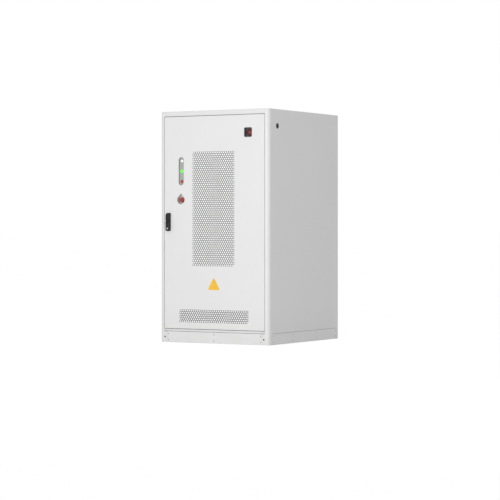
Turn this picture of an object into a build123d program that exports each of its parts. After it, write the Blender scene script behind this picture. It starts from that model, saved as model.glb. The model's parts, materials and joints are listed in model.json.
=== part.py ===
from build123d import *
import os
from math import acos, cos, pi, radians, sin, sqrt, tan

os.makedirs("parts", exist_ok=True)

# A free-standing outdoor battery cabinet: a folded sheet body on a plinth, one flush door
# on concealed gooseneck hinges, a swing-lever lock with a pinion and two rods, a cooling
# unit behind the perforated door and a rack of battery modules.
# Millimetres. X runs to the right, Y into the cabinet and Z up. The origin is on the floor,
# under the middle of the whole box, lock lever included.

# ---------------------------------------------------------------- body
width = 1090.0
depth = 1266.0
height = 2000.0
corner_radius = 34.0
sheet = 2.0
lever_proud = 26.0
roof_thickness = 8.0
roof_edge_radius = 5.0
roof_rib_height = 18.0
roof_rib_inset = 120.0
floor_level = 100.0
pan_thickness = 3.0
return_lip = 12.0
touch_gap = 0.3
running_gap = 0.05

front = (lever_proud - depth) / 2
back = front + depth
middle = (front + back) / 2
half = width / 2
roof_seat = height - roof_thickness
pan_top = floor_level + pan_thickness

# ---------------------------------------------------------------- plinth
plinth_height = 98.0
plinth_wall = 3.0
plinth_foot_thickness = 5.0
plinth_foot_width = 60.0
plinth_head_width = 30.0
leg_pad_inner = 474.0
cover_side_gap = 3.0
cover_low = 4.0
cover_high = 95.5
cover_recess = 1.5
side_cover_half = 570.0
screw_head_radius = 5.5
screw_row_offset = 25.5
screw_edge_inset = 9.0
side_screw_inner = 217.0
leg_hole_radius = 6.5
leg_hole_x = 495.0
leg_hole_z = 47.0
anchor_inset = 40.0
anchor_radius = 9.0

cover_half = leg_pad_inner - cover_side_gap
cover_seat = sheet + cover_recess
cover_middle = (cover_low + cover_high) / 2

# ---------------------------------------------------------------- door opening and door
opening_edge = 40.0
opening_bottom = 116.5
opening_top_drop = 42.0
door_gap = 4.0
door_fold = 24.0
door_corner = 3.0
door_edge_radius = 2.2
hinge_flange = 22.0

opening_half = half - opening_edge
opening_top = height - opening_top_drop
door_half = opening_half - door_gap
door_bottom = opening_bottom + door_gap
door_top = opening_top - door_gap
door_height = door_top - door_bottom
door_middle = (door_top + door_bottom) / 2
door_back = front + door_fold

# The seal line, where the frame's lip presses on the door's gasket
seal_lock_inset = 10.0
seal_hinge_inset = 38.0
seal_end_inset = 11.0
gasket_width = 12.0
gasket_depth = 14.0
lip_front = front + sheet + gasket_depth
landing = front + 42.0

seal_left = -door_half + seal_lock_inset
seal_right = door_half - seal_hinge_inset
seal_bottom = door_bottom + seal_end_inset
seal_top = door_top - seal_end_inset
seal_width = seal_right - seal_left
seal_height = seal_top - seal_bottom
seal_centre = ((seal_left + seal_right) / 2, (seal_top + seal_bottom) / 2)

# ---------------------------------------------------------------- frame posts and rack
post_size = 50.0
post_wall = 3.0
landing_back = landing + sheet
post_x = half - sheet - post_size / 2
front_post_y = landing_back + post_size / 2
rear_post_y = back - corner_radius - post_size / 2
rail_size = 40.0
rail_wall = 3.0
shelf_front_setback = 300.0
shelf_rear_gap = 90.0
shelf_lip = 25.0
first_shelf = 150.0
shelf_count = 5
control_height = 400.0
control_top_gap = 122.0

# The control box stands on the top shelf, and the shelves share what is left below it
control_bottom = roof_seat - control_top_gap - control_height
shelf_pitch = (control_bottom - first_shelf) / (shelf_count - 1)
shelf_front = front + shelf_front_setback
shelf_back = back - shelf_rear_gap
shelf_levels = [first_shelf + shelf_pitch * level for level in range(shelf_count)]

# ---------------------------------------------------------------- battery modules
module_width = 440.0
module_depth = 800.0
module_headroom = 60.0
module_column = 232.0
module_setback = 320.0
module_face = 6.0
module_face_inset = 5.0
terminal_x = 60.0
terminal_drop = 60.0
terminal_size = 26.0
terminal_length = 16.0
vent_count = 3
vent_width = 90.0
vent_height = 8.0
vent_pitch = 18.0
vent_depth = 2.0
link_width = 26.0
link_thickness = 5.0

module_height = shelf_pitch - module_headroom
module_front = front + module_setback
link_seat = module_front - module_face - terminal_length

# ---------------------------------------------------------------- control box
control_half = 440.0
control_depth = 520.0
control_wall = 2.0
isolator_x = -300.0
isolator_rise = 230.0
isolator_collar = 34.0
isolator_collar_depth = 8.0
isolator_radius = 28.0
isolator_depth = 22.0
isolator_grip = 14.0

isolator_z = control_bottom + isolator_rise

# ---------------------------------------------------------------- cable entry
entry_width = 420.0
entry_depth = 90.0
entry_overlap = 20.0
entry_plate_thickness = 3.0
entry_hole_radius = 30.0
entry_hole_x = 110.0
entry_y = back - 110.0

# ---------------------------------------------------------------- hinges
hinge_x = half - 26.0
hinge_y = front + 10.0
hinge_end_distance = 190.0
knuckle_radius = 6.0
hinge_pin_radius = 3.0
arm_height = 40.0
arm_thickness = 4.0
arm_side_reach = 10.0
arm_back_reach = 22.0
arm_cross = 15.0
arm_landing = 21.0
arm_bend = 3.0
leaf_knuckle_height = 22.0
leaf_thickness = 4.0
knuckle_gap = 0.3

hinge_levels = [door_bottom + hinge_end_distance, door_middle, door_top - hinge_end_distance]
leaf_half = arm_height / 2 + knuckle_gap + leaf_knuckle_height

# ---------------------------------------------------------------- grilles
grille_x = -3.0
tall_grille_width = 446.0
tall_grille_below = 534.5
tall_grille_above = 299.0
low_grille_width = 722.0
low_grille_height = 128.0
low_grille_rise = 111.5
filter_overlap = 8.0
filter_depth = 12.0

tall_grille_height = door_height - tall_grille_below - tall_grille_above
tall_grille_z = door_bottom + tall_grille_below + tall_grille_height / 2
low_grille_z = door_bottom + low_grille_rise

# ---------------------------------------------------------------- lamps, stop button, alarm
tray_wall = 1.5
tray_rim = 7.0
lamp_x = -door_half + 171.0
lamp_z = door_top - 472.5
lamp_slot_width = 52.0
lamp_slot_height = 244.0
lamp_tray_depth = 16.0
lamp_pitch = 88.5
lamp_bezel_radius = 15.0
lamp_bezel_height = 2.5
lamp_lens_radius = 12.5
lamp_lens_top = 9.0
lamp_lens_height = 4.2
lamp_body_radius = 11.0
lamp_body_length = 34.0

stop_x = -door_half + 168.0
stop_z = door_top - 720.0
stop_radius = 38.0
stop_peak = 60.0
stop_peak_radius = 6.0
stop_tray_depth = 44.0
stop_collar_radius = 15.0
stop_collar_height = 12.0
stop_block_size = 34.0
stop_block_depth = 46.0
stop_stem_radius = 8.0
stop_neck_radius = 5.0
stop_sleeve_wall = 2.0
stop_head_radius = 21.0
stop_head_depth = 15.0
stop_crown = 5.0
stop_crown_radius = 14.0
stop_rim = 5.0
stop_head_setback = 11.0
stop_travel = 5.0
stop_reach = 6.0

alarm_x = door_half - 159.5
alarm_z = door_top - 151.0
alarm_width = 77.0
alarm_height = 82.0
alarm_corner = 12.0
alarm_rim = 3.0
alarm_rim_proud = 1.5
alarm_depth = 32.0
alarm_dome_radius = 30.0
alarm_dome_height = 24.0
alarm_dome_top = 22.0
alarm_body_radius = 22.0
alarm_body_length = 30.0

# ---------------------------------------------------------------- lock
plate_bottom = door_bottom + 843.5
plate_width = 42.0
plate_height = 157.0
plate_thickness = 5.0
plate_corner = 7.0
plate_body_width = 34.0
plate_body_height = 149.0
plate_body_depth = 28.0
grip_width = 38.0
grip_edge_radius = 4.0
spindle_drop = 21.0
spindle_radius = 8.0
head_split = 64.0
lift_drop = 71.0
lift_depth = 13.0
lift_radius = 6.0
lift_pin_radius = 2.5
tongue_width = 14.0
grip_shoulder = 10.0
key_rise = 22.0
key_radius = 7.0
key_depth = 16.0
key_slot_width = 1.6
key_slot_length = 8.0

plate_top = plate_bottom + plate_height
plate_middle = (plate_top + plate_bottom) / 2
plate_face = front - plate_thickness
grip_back = plate_face - touch_gap
grip_face = front - lever_proud
spindle_z = plate_top - spindle_drop
head_bottom = plate_top - head_split
lift_z = plate_top - lift_drop
lift_y = front - lift_depth
grip_bottom = plate_bottom + 3.0
key_z = plate_bottom + key_rise

gear_module = 1.5
pinion_teeth = 16
tooth_addendum = 1.3
tooth_dedendum = 1.7
tooth_backlash = 0.2
tooth_root_overlap = 1.0
rack_lead = 6
rack_tail = 2
pressure_angle = 20.0
rod_width = 8.0
rod_depth = 10.0
rod_front = front + 48.0
rod_end_gap = 8.0
case_gap = 1.7
case_play = 0.6
case_wall = 3.0
case_half_height = 42.0
case_back = front + 63.0
guide_height = 20.0
guide_wall = 3.0
guide_distance = 160.0

pitch_radius = gear_module * pinion_teeth / 2
case_half = pitch_radius + tooth_dedendum + rod_width + case_play + case_wall
lock_x = seal_left + gasket_width / 2 + case_gap + case_half
tooth_pitch = pi * gear_module
lip_bottom = seal_bottom + sheet / 2
lip_top = seal_top - sheet / 2

# ---------------------------------------------------------------- cooling unit and stiffeners
cooler_half = 240.0
cooler_overlap = 15.0
cooler_depth = 236.0
cooler_flange = 34.0
orifice_web = 156.0
orifice_setback = 26.0
fan_tip_gap = 4.0
fan_hub_radius = 48.0
fan_hub_depth = 50.0
fan_stagger = 15.0
fan_blades = 7
fan_shaft_radius = 6.0
fan_tip_chord = 74.0
fan_root_chord = 52.0
fan_blade_pitch = 35.0
fan_blade_thickness = 3.0
fan_root_inset = 4.0
fan_gap = 4.0
bracket_width = 24.0
bracket_thickness = 4.0
louvre_count = 6
louvre_width = 300.0
louvre_height = 14.0
louvre_pitch = 34.0
louvre_inset = 90.0
hat_width = 26.0
hat_wall = 1.5
hat_top_gap = 30.0
hat_low = door_bottom + 195.0
hat_cooler_gap = 22.0
hat_side_inset = 86.0

cooler_height = tall_grille_height + 2 * cooler_overlap
fan_spacing = cooler_height / 2 - fan_stagger
orifice_radius = (fan_spacing - orifice_web) / 2
fan_radius = orifice_radius - fan_tip_gap
hat_places = (
    grille_x - cooler_half - hat_cooler_gap, grille_x + cooler_half + hat_cooler_gap,
    door_half - hat_side_inset)
cooler_front = front + sheet + filter_depth
cooler_back = cooler_front + cooler_depth
orifice_y = cooler_front + orifice_setback
fan_front = orifice_y + sheet + fan_gap
bracket_y = fan_front + fan_hub_depth + fan_gap

# ---------------------------------------------------------------- side plug
plug_radius = 24.0
plug_flange_radius = 28.0
plug_setback = 145.0
plug_drop = 143.0
plug_slots = 5
plug_slot_width = 4.0
plug_slot_pitch = 7.0


def looking_in(y):
    """A drawing plane seen from the front, at depth y; negative amounts run inwards."""
    return Plane.XZ.offset(-y)


def block(x, y, z, mode=Mode.ADD):
    """A box between two limits along each axis."""
    with Locations(((x[0] + x[1]) / 2, (y[0] + y[1]) / 2, (z[0] + z[1]) / 2)):
        Box(abs(x[1] - x[0]), abs(y[1] - y[0]), abs(z[1] - z[0]), mode=mode)


def rod(centre, axis, radius, length, mode=Mode.ADD):
    """A round bar that starts at a point and runs along an axis."""
    with Locations(Plane(origin=centre, z_dir=axis)):
        Cylinder(radius, length, align=(Align.CENTER, Align.CENTER, Align.MIN), mode=mode)


def keep(piece, label):
    """Label a finished piece and write it out."""
    piece.part.label = label
    export_step(piece.part, f"parts/{label}.step")


# ================================================================ plinth
# A welded ring of folded channel stands on the floor. Flat pads finish its legs flush with
# the body, and removable covers close the stretches between them.
def plinth_outline():
    """The outline of the plinth ring, its corners cut off behind the rounded columns."""
    with BuildSketch() as outline:
        Rectangle(width - 2 * cover_seat, depth - 2 * cover_seat)
        chamfer(outline.vertices(), corner_radius)
    return outline.sketch


with BuildPart() as plinth_frame:
    with BuildSketch():
        with Locations((0, middle)):
            add(plinth_outline())
            Rectangle(
                width - 2 * (cover_seat + plinth_wall), depth - 2 * (cover_seat + plinth_wall),
                mode=Mode.SUBTRACT)
    extrude(amount=floor_level)
    for level, reach in (
        (0, plinth_foot_width),
        (floor_level - plinth_foot_thickness, plinth_head_width),
    ):
        with BuildSketch(Plane.XY.offset(level)):
            with Locations((0, middle)):
                add(plinth_outline())
                Rectangle(width - 2 * (sheet + reach), depth - 2 * (sheet + reach), mode=Mode.SUBTRACT)
        extrude(amount=plinth_foot_thickness)
    for side in (-1, 1):
        for face in ((front, front + cover_seat), (back - cover_seat, back)):
            block((side * leg_pad_inner, side * opening_half), face, (0, plinth_height))
    with BuildSketch(looking_in(front)):
        with Locations((-leg_hole_x, leg_hole_z), (leg_hole_x, leg_hole_z)):
            Circle(leg_hole_radius)
    extrude(amount=-depth, mode=Mode.SUBTRACT)
    with BuildSketch():
        with Locations((0, middle)):
            with GridLocations(width - 2 * anchor_inset, depth - 2 * anchor_inset, 2, 2):
                Circle(anchor_radius)
    extrude(amount=plinth_foot_thickness, mode=Mode.SUBTRACT)
keep(plinth_frame, "plinth_frame")

# Each cover is drawn where it seats and grows outwards: name, seat, half length, screw columns
end_columns = (-cover_half + screw_edge_inset, 0, cover_half - screw_edge_inset)
outer_column = side_cover_half - screw_edge_inset
side_columns = (-outer_column, -side_screw_inner, side_screw_inner, outer_column)
cover_seats = {
    "plinth_cover_front": (
        Plane((0, front + cover_seat, cover_middle), x_dir=(1, 0, 0), z_dir=(0, -1, 0)),
        cover_half, end_columns),
    "plinth_cover_rear": (
        Plane((0, back - cover_seat, cover_middle), x_dir=(-1, 0, 0), z_dir=(0, 1, 0)),
        cover_half, end_columns),
    "plinth_cover_left": (
        Plane((cover_seat - half, middle, cover_middle), x_dir=(0, -1, 0), z_dir=(-1, 0, 0)),
        side_cover_half, side_columns),
    "plinth_cover_right": (
        Plane((half - cover_seat, middle, cover_middle), x_dir=(0, 1, 0), z_dir=(1, 0, 0)),
        side_cover_half, side_columns),
}


def screw_places(columns):
    """The screws of one cover: an upper and a lower one at each column."""
    return [(column, row) for column in columns for row in (-screw_row_offset, screw_row_offset)]


def plinth_cover(seat, half_length):
    """A flat cover, set back so that its screw heads end flush with the body."""
    with BuildPart() as cover:
        with BuildSketch(seat):
            Rectangle(2 * half_length, cover_high - cover_low)
        extrude(amount=sheet)
    return cover


for label, (seat, half_length, columns) in cover_seats.items():
    keep(plinth_cover(seat, half_length), label)

with BuildPart() as plinth_screws:
    for seat, half_length, columns in cover_seats.values():
        with BuildSketch(seat.offset(sheet)):
            with Locations(*screw_places(columns)):
                RegularPolygon(screw_head_radius, 6)
        extrude(amount=cover_recess)
keep(plinth_screws, "plinth_screws")

# ================================================================ body skins
with BuildPart() as bottom_pan:
    with BuildSketch(Plane.XY.offset(floor_level)):
        with Locations((0, middle)):
            RectangleRounded(width - 2 * sheet, depth - 2 * sheet, corner_radius - sheet)
        with Locations((0, entry_y)):
            Rectangle(entry_width, entry_depth, mode=Mode.SUBTRACT)
    extrude(amount=pan_thickness)
keep(bottom_pan, "bottom_pan")

with BuildPart() as gland_plate:
    with BuildSketch(Plane.XY.offset(pan_top)):
        with Locations((0, entry_y)):
            Rectangle(entry_width + entry_overlap, entry_depth + entry_overlap)
            with GridLocations(2 * entry_hole_x, 0, 2, 1):
                Circle(entry_hole_radius, mode=Mode.SUBTRACT)
    extrude(amount=entry_plate_thickness)
keep(gland_plate, "gland_plate")


def side_panel(side):
    """One folded wrap: front return, rounded corner, side, rounded corner, rear return."""
    reach = half - opening_half
    with BuildPart() as panel:
        with BuildSketch():
            with Locations((0, middle)):
                RectangleRounded(width, depth, corner_radius)
                RectangleRounded(
                    width - 2 * sheet, depth - 2 * sheet, corner_radius - sheet, mode=Mode.SUBTRACT)
            with Locations((side * (opening_half + reach / 2), middle)):
                Rectangle(reach, depth, mode=Mode.INTERSECT)
        extrude(amount=roof_seat)
        for lip in ((front, front + return_lip), (back - return_lip, back)):
            block((side * opening_half, side * (opening_half + sheet)), lip, (pan_top, roof_seat))
        cut = side_cover_half + sheet / 2
        block(
            (side * (half - sheet), side * half), (middle - cut, middle + cut),
            (0, cover_high + sheet / 2), mode=Mode.SUBTRACT)
        if side > 0:
            rod((half - sheet, front + plug_setback, height - plug_drop), (1, 0, 0),
                plug_radius, sheet, mode=Mode.SUBTRACT)
    return panel


keep(side_panel(-1), "side_panel_left")
keep(side_panel(1), "side_panel_right")

# The plug snaps into the side panel from inside, its face flush, with short vent slots
with BuildPart() as side_plug:
    plug_place = (half - sheet, front + plug_setback, height - plug_drop)
    rod(plug_place, (1, 0, 0), plug_radius - running_gap, sheet)
    rod(plug_place, (-1, 0, 0), plug_flange_radius, sheet)
    for slot in range(plug_slots):
        rise = (slot - (plug_slots - 1) / 2) * plug_slot_pitch
        reach = sqrt(plug_radius ** 2 - rise ** 2) - 2 * plug_slot_width
        block(
            (half - sheet / 2, half), (plug_place[1] - reach, plug_place[1] + reach),
            (plug_place[2] + rise - plug_slot_width / 2, plug_place[2] + rise + plug_slot_width / 2),
            mode=Mode.SUBTRACT)
keep(side_plug, "side_plug")

# The rear panel is a pan whose flanges reach the rear posts
with BuildPart() as rear_panel:
    rear_half = opening_half - touch_gap
    block((-rear_half, rear_half), (back - sheet, back), (floor_level, roof_seat))
    flange = (back - corner_radius, back - sheet)
    for side in (-1, 1):
        block((side * (rear_half - sheet), side * rear_half), flange, (pan_top, roof_seat))
    for low in (pan_top, roof_seat - sheet):
        block((-rear_half, rear_half), flange, (low, low + sheet))
keep(rear_panel, "rear_panel")

with BuildPart() as roof:
    with BuildSketch(Plane.XY.offset(roof_seat)):
        with Locations((0, middle)):
            RectangleRounded(width, depth, corner_radius)
    extrude(amount=roof_thickness)
    fillet(roof.faces().sort_by(Axis.Z)[-1].edges(), roof_edge_radius)
    for side in (-1, 1):
        block(
            (side * (half - sheet - touch_gap), side * (half - 2 * sheet - touch_gap)),
            (front + roof_rib_inset, back - roof_rib_inset), (roof_seat - roof_rib_height, roof_seat))
keep(roof, "roof")

with BuildPart() as top_rail:
    block((-opening_half, opening_half), (front, front + sheet), (opening_top, roof_seat))
    block(
        (-opening_half, opening_half), (front, front + return_lip),
        (opening_top, opening_top + sheet))
    block((-opening_half, opening_half), (front, landing), (roof_seat - sheet, roof_seat))
keep(top_rail, "top_rail")

with BuildPart() as door_sill:
    block((-opening_half, opening_half), (front, front + sheet), (floor_level, opening_bottom))
    block(
        (-opening_half, opening_half), (front, front + return_lip),
        (opening_bottom - sheet, opening_bottom))
keep(door_sill, "door_sill")

# The landing plate closes the trough behind the door's edge; its forward lip meets the gasket
with BuildPart() as door_frame:
    with BuildSketch(looking_in(landing)):
        with Locations((0, (pan_top + roof_seat) / 2)):
            Rectangle(width - 2 * sheet, roof_seat - pan_top)
        with Locations(seal_centre):
            Rectangle(seal_width - sheet, seal_height - sheet, mode=Mode.SUBTRACT)
    extrude(amount=-sheet)
    with BuildSketch(looking_in(lip_front)):
        with Locations(seal_centre):
            Rectangle(seal_width + sheet, seal_height + sheet)
            Rectangle(seal_width - sheet, seal_height - sheet, mode=Mode.SUBTRACT)
    extrude(amount=-(landing_back - lip_front))
keep(door_frame, "door_frame")


def posts(y):
    """The left and right square tubes that carry the roof and the rack."""
    with BuildPart() as pair:
        with BuildSketch(Plane.XY.offset(pan_top)):
            with Locations((-post_x, y), (post_x, y)):
                Rectangle(post_size, post_size)
                Rectangle(post_size - 2 * post_wall, post_size - 2 * post_wall, mode=Mode.SUBTRACT)
        extrude(amount=roof_seat - pan_top)
    return pair


keep(posts(front_post_y), "front_posts")
keep(posts(rear_post_y), "rear_posts")

# ================================================================ rack and modules
# Each level is a tray with folded lips, on two angle rails that join the posts
with BuildPart() as rack_shelves:
    rail_outer = half - sheet
    rail_span = (front_post_y + post_size / 2, rear_post_y - post_size / 2)
    for level in shelf_levels:
        tray_half = rail_outer - rail_wall
        block((-tray_half, tray_half), (shelf_front, shelf_back), (level - sheet, level))
        for lip in ((shelf_front, shelf_front + sheet), (shelf_back - sheet, shelf_back)):
            block((-tray_half, tray_half), lip, (level - shelf_lip, level))
        for side in (-1, 1):
            block(
                (side * (rail_outer - rail_wall), side * rail_outer), rail_span,
                (level - rail_size, level))
            block(
                (side * (rail_outer - rail_size), side * rail_outer), rail_span,
                (level - sheet - rail_wall, level - sheet))
keep(rack_shelves, "rack_shelves")


def battery_module(column, level):
    """A module: sheet case, bezel with vent slots and two terminal blocks."""
    case_back = module_front + module_depth
    bezel = module_front - module_face
    top = level + module_height
    with BuildPart() as module:
        block(
            (column - module_width / 2 + module_face_inset,
             column + module_width / 2 - module_face_inset),
            (module_front, case_back), (level, top - module_face_inset))
        block(
            (column - module_width / 2, column + module_width / 2), (bezel, module_front), (level, top))
        for side in (-1, 1):
            x = column + side * terminal_x
            block(
                (x - terminal_size / 2, x + terminal_size / 2), (link_seat, bezel),
                (top - terminal_drop - terminal_size / 2, top - terminal_drop + terminal_size / 2))
        for vent in range(vent_count):
            z = level + module_height / 2 - vent * vent_pitch
            block(
                (column - vent_width / 2, column + vent_width / 2), (bezel, bezel + vent_depth),
                (z - vent_height / 2, z + vent_height / 2), mode=Mode.SUBTRACT)
    return module


number = 0
for column in (-module_column, module_column):
    for level in shelf_levels[:-1]:
        number += 1
        keep(battery_module(column, level), f"battery_module_{number}")

# Insulated bars join the modules in series, up one column and across to the other
with BuildPart() as module_links:
    with BuildSketch(looking_in(link_seat)):
        for column in (-module_column, module_column):
            for step, level in enumerate(shelf_levels[:-2]):
                side = 1 if step % 2 == 0 else -1
                z = level + module_height - terminal_drop + shelf_pitch / 2
                with Locations((column + side * terminal_x, z)):
                    Rectangle(link_width, shelf_pitch + link_width)
    extrude(amount=link_thickness)
keep(module_links, "module_links")

control_front = module_front
with BuildPart() as control_box:
    with BuildSketch(looking_in(control_front)):
        with Locations((0, control_bottom + control_height / 2)):
            Rectangle(2 * control_half, control_height)
    extrude(amount=-control_depth)
    inner = (-control_half + control_wall, control_half - control_wall)
    block(
        inner, (control_front + control_wall, control_front + control_depth - control_wall),
        (control_bottom + control_wall, control_bottom + control_height - control_wall),
        mode=Mode.SUBTRACT)
    rod((isolator_x, control_front, isolator_z), (0, -1, 0), isolator_collar, isolator_collar_depth)
    rod((isolator_x, control_front + control_wall, isolator_z), (0, -1, 0),
        spindle_radius + running_gap, control_wall + isolator_collar_depth, mode=Mode.SUBTRACT)
keep(control_box, "control_box")

with BuildPart() as isolator_knob:
    knob_back = control_front - isolator_collar_depth - touch_gap
    rod((isolator_x, knob_back, isolator_z), (0, -1, 0), isolator_radius, isolator_depth / 3)
    block(
        (isolator_x - isolator_grip / 2, isolator_x + isolator_grip / 2),
        (knob_back - isolator_depth, knob_back),
        (isolator_z - isolator_radius, isolator_z + isolator_radius))
    rod((isolator_x, knob_back, isolator_z), (0, 1, 0), spindle_radius, isolator_collar_depth)
keep(isolator_knob, "isolator_knob")

# ================================================================ door
def seal_ring(plane, outer, inner, amount):
    """A closed band along the seal line, between two growths of it."""
    with BuildPart() as band:
        with BuildSketch(plane):
            with Locations(seal_centre):
                Rectangle(seal_width + 2 * outer, seal_height + 2 * outer)
                Rectangle(seal_width + 2 * inner, seal_height + 2 * inner, mode=Mode.SUBTRACT)
        extrude(amount=amount)
    return band


def teardrop(grow):
    """A round cup outline that rises to a softened point, grown outwards all round."""
    turn = acos(stop_radius / stop_peak)
    with BuildSketch() as drop:
        Circle(stop_radius)
        with BuildLine():
            Polyline(
                (0, 0), (stop_radius * sin(turn), stop_radius * cos(turn)), (0, stop_peak),
                (-stop_radius * sin(turn), stop_radius * cos(turn)), close=True)
        make_face()
        fillet(drop.vertices().sort_by(Axis.Y)[-1], stop_peak_radius)
        if grow > 0:
            offset(amount=grow)
    return drop.sketch


with BuildPart() as door_skin:
    with BuildSketch(looking_in(front)):
        with Locations((0, door_middle)):
            RectangleRounded(2 * door_half, door_height, door_corner)
    extrude(amount=-door_fold)
    fillet(door_skin.faces().sort_by(Axis.Y)[0].edges(), door_edge_radius)
    pocket = door_half - sheet
    block(
        (-pocket, pocket), (front + sheet, door_back), (door_bottom + sheet, door_top - sheet),
        mode=Mode.SUBTRACT)
    block(
        (door_half - hinge_flange, pocket), (door_back - sheet, door_back),
        (door_bottom + sheet, door_top - sheet))
    with BuildSketch(looking_in(front)):
        with Locations((grille_x, tall_grille_z)):
            Rectangle(tall_grille_width, tall_grille_height)
        with Locations((0, low_grille_z)):
            Rectangle(low_grille_width, low_grille_height)
        with Locations((lamp_x, lamp_z)):
            SlotOverall(lamp_slot_height, lamp_slot_width, rotation=90)
        with Locations((stop_x, stop_z)):
            add(teardrop(0))
        with Locations((alarm_x, alarm_z)):
            RectangleRounded(
                alarm_width - 2 * alarm_rim, alarm_height - 2 * alarm_rim, alarm_corner - alarm_rim)
        with Locations((lock_x, plate_middle)):
            Rectangle(plate_body_width + touch_gap, plate_body_height + touch_gap)
    extrude(amount=-sheet, mode=Mode.SUBTRACT)
keep(door_skin, "door_skin")

# The perforated fields lie in the plane of the skin; the mats stand close behind them
with BuildPart() as tall_grille:
    with BuildSketch(looking_in(front)):
        with Locations((grille_x, tall_grille_z)):
            Rectangle(tall_grille_width, tall_grille_height)
    extrude(amount=-sheet)
keep(tall_grille, "tall_grille")

with BuildPart() as low_grille:
    with BuildSketch(looking_in(front)):
        with Locations((0, low_grille_z)):
            Rectangle(low_grille_width, low_grille_height)
    extrude(amount=-sheet)
keep(low_grille, "low_grille")

with BuildPart() as filter_mats:
    with BuildSketch(looking_in(front + sheet)):
        with Locations((grille_x, tall_grille_z)):
            Rectangle(tall_grille_width + 2 * filter_overlap, tall_grille_height + 2 * filter_overlap)
        with Locations((0, low_grille_z)):
            Rectangle(low_grille_width + 2 * filter_overlap, low_grille_height + 2 * filter_overlap)
    extrude(amount=-filter_depth)
keep(filter_mats, "filter_mats")

keep(
    seal_ring(looking_in(front + sheet), gasket_width / 2, -gasket_width / 2, touch_gap - gasket_depth),
    "door_gasket",
)

# Hat sections stiffen the skin; two of them carry the cooling unit's flange
with BuildPart() as door_stiffeners:
    for x in hat_places:
        ends = (hat_low, seal_top - hat_top_gap)
        block((x - hat_width / 2, x + hat_width / 2), (front + sheet, cooler_front), ends)
        block(
            (x - hat_width / 2 + hat_wall, x + hat_width / 2 - hat_wall),
            (front + sheet, cooler_front - hat_wall), ends, mode=Mode.SUBTRACT)
keep(door_stiffeners, "door_stiffeners")

# ---------------------------------------------------------------- lamps
with BuildPart() as lamp_tray:
    for grow, thickness in ((tray_rim, tray_wall), (tray_wall, lamp_tray_depth - sheet + tray_wall)):
        with BuildSketch(looking_in(front + sheet)):
            with Locations((lamp_x, lamp_z)):
                SlotOverall(lamp_slot_height + 2 * grow, lamp_slot_width + 2 * grow, rotation=90)
        extrude(amount=-thickness)
    with BuildSketch(looking_in(front + sheet)):
        with Locations((lamp_x, lamp_z)):
            SlotOverall(lamp_slot_height, lamp_slot_width, rotation=90)
    extrude(amount=-(lamp_tray_depth - sheet), mode=Mode.SUBTRACT)
    with BuildSketch(looking_in(front + lamp_tray_depth)):
        with Locations((lamp_x, lamp_z)):
            with GridLocations(0, lamp_pitch, 1, 3):
                Circle(lamp_body_radius)
    extrude(amount=-tray_wall, mode=Mode.SUBTRACT)
keep(lamp_tray, "lamp_tray")


def pilot_lamp(z):
    """A pilot lamp: round bezel, tapered lens and the body behind its panel hole."""
    seat = front + lamp_tray_depth
    with BuildPart() as lamp:
        with BuildSketch(Plane((lamp_x, seat, z))):
            with BuildLine():
                Polyline(
                    (0, -lamp_bezel_height - lamp_lens_height), (0, lamp_body_length),
                    (lamp_body_radius - running_gap, lamp_body_length),
                    (lamp_body_radius - running_gap, 0), (lamp_bezel_radius, 0),
                    (lamp_bezel_radius, -lamp_bezel_height), (lamp_lens_radius, -lamp_bezel_height),
                    (lamp_lens_top, -lamp_bezel_height - lamp_lens_height), close=True)
            make_face()
        revolve(axis=Axis((lamp_x, seat, z), (0, 1, 0)))
    return lamp


for colour, step in (("white", 1), ("green", 0), ("red", -1)):
    keep(pilot_lamp(lamp_z + step * lamp_pitch), f"pilot_lamp_{colour}")

# ---------------------------------------------------------------- emergency stop
with BuildPart() as stop_tray:
    for grow, thickness in ((tray_rim, tray_wall), (tray_wall, stop_tray_depth - sheet + tray_wall)):
        with BuildSketch(looking_in(front + sheet)):
            with Locations((stop_x, stop_z)):
                add(teardrop(grow))
        extrude(amount=-thickness)
    with BuildSketch(looking_in(front + sheet)):
        with Locations((stop_x, stop_z)):
            add(teardrop(0))
    extrude(amount=-(stop_tray_depth - sheet), mode=Mode.SUBTRACT)
    rod((stop_x, front + stop_tray_depth, stop_z), (0, 1, 0),
        stop_stem_radius + stop_sleeve_wall, tray_wall, mode=Mode.SUBTRACT)
keep(stop_tray, "stop_tray")

stop_seat = front + stop_tray_depth
stop_block_front = stop_seat + tray_wall
with BuildPart() as stop_collar:
    rod((stop_x, stop_seat, stop_z), (0, -1, 0), stop_collar_radius, stop_collar_height)
    rod((stop_x, stop_seat, stop_z), (0, 1, 0), stop_stem_radius + stop_sleeve_wall, tray_wall)
    block(
        (stop_x - stop_block_size / 2, stop_x + stop_block_size / 2),
        (stop_block_front, stop_block_front + stop_block_depth),
        (stop_z - stop_block_size / 2, stop_z + stop_block_size / 2))
    rod((stop_x, stop_seat - stop_collar_height, stop_z), (0, 1, 0),
        stop_stem_radius + running_gap, stop_collar_height + tray_wall + stop_reach + 2 * stop_travel,
        mode=Mode.SUBTRACT)
keep(stop_collar, "stop_collar")

head_front = front + stop_head_setback
head_back = head_front + stop_head_depth
with BuildPart() as stop_stem:
    rod((stop_x, head_back + touch_gap, stop_z), (0, 1, 0), stop_stem_radius,
        stop_block_front + stop_reach - head_back)
    rod((stop_x, head_back + touch_gap, stop_z), (0, -1, 0), stop_neck_radius, stop_head_depth / 2)
keep(stop_stem, "stop_stem")

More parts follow.
